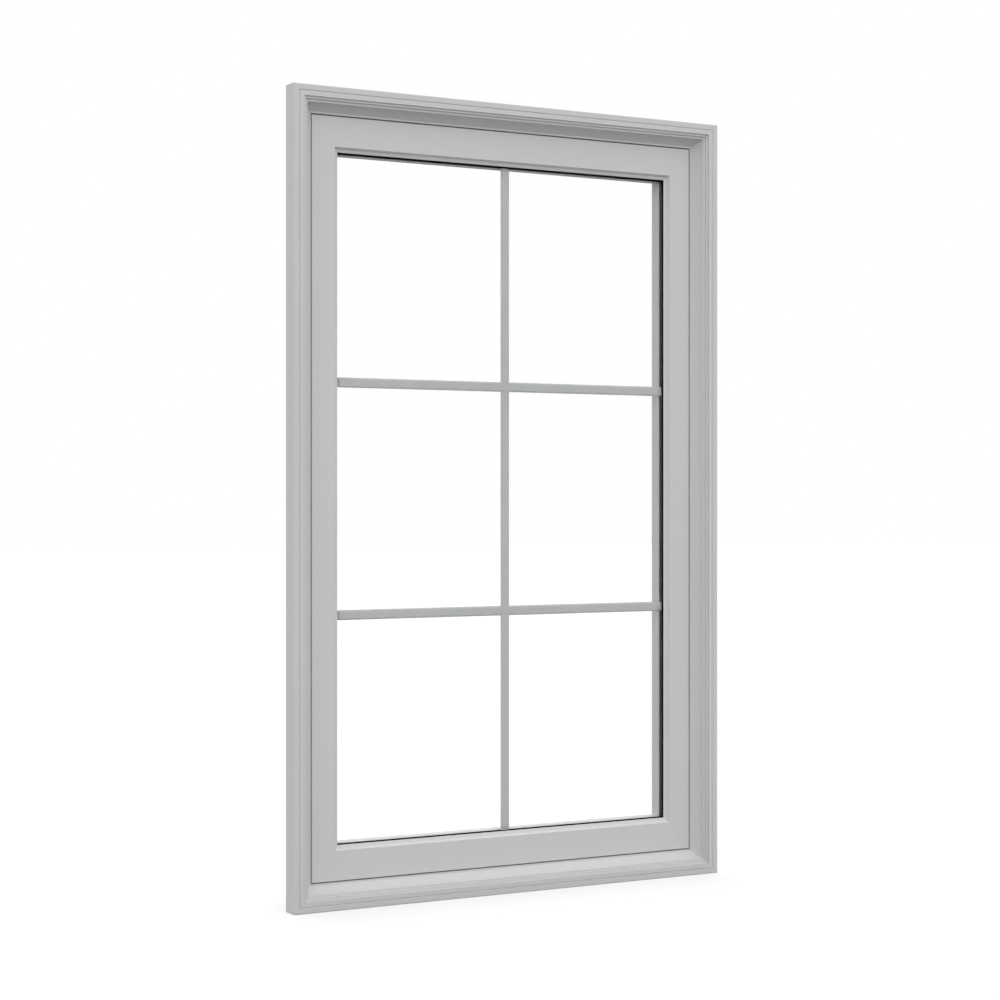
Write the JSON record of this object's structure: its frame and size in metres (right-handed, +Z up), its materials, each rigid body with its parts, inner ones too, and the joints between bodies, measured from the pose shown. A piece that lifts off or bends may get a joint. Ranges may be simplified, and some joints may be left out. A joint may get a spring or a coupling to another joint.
{
  "type": "picture window",
  "caption": "Fixed picture window with a moulded casing on all four sides, a sealed double-glazed unit and a contoured grille between the panes",
  "frame": {"origin": "the middle of the flat underside of the frame's sill", "axes": "+Z up, -Y faces outdoors, +Y faces into the room, X across the window"},
  "size_m": [0.997, 0.1207, 1.6066],
  "materials": {
    "vinyl": "satin",
    "glass": "gloss",
    "gasket": "matte",
    "spacer": "satin",
    "grille_enamel": "satin",
    "keeper": "satin"
  },
  "bodies": {
    "root": {"brickmould_head": "vinyl", "brickmould_left": "vinyl", "brickmould_right": "vinyl", "brickmould_sill": "vinyl", "frame_head": "vinyl", "frame_jamb_left": "vinyl", "frame_jamb_right": "vinyl", "frame_sill": "vinyl", "glazing_tape_head": "gasket", "glazing_tape_left": "gasket", "glazing_tape_right": "gasket", "glazing_tape_sill": "gasket", "grille_crossbar_1": "grille_enamel", "grille_crossbar_2": "grille_enamel", "grille_upright": "grille_enamel", "inner_pane": "glass", "interior_bead_head": "vinyl", "interior_bead_left": "vinyl", "interior_bead_right": "vinyl", "interior_bead_sill": "vinyl", "keeper_bottom": "keeper", "keeper_left_1": "keeper", "keeper_left_2": "keeper", "keeper_right_1": "keeper", "keeper_right_2": "keeper", "keeper_top": "keeper", "outer_pane": "glass", "sash_bottom_rail": "vinyl", "sash_stile_left": "vinyl", "sash_stile_right": "vinyl", "sash_top_rail": "vinyl", "spacer_head": "spacer", "spacer_left": "spacer", "spacer_right": "spacer", "spacer_sill": "spacer"}
  },
  "joints": []
}
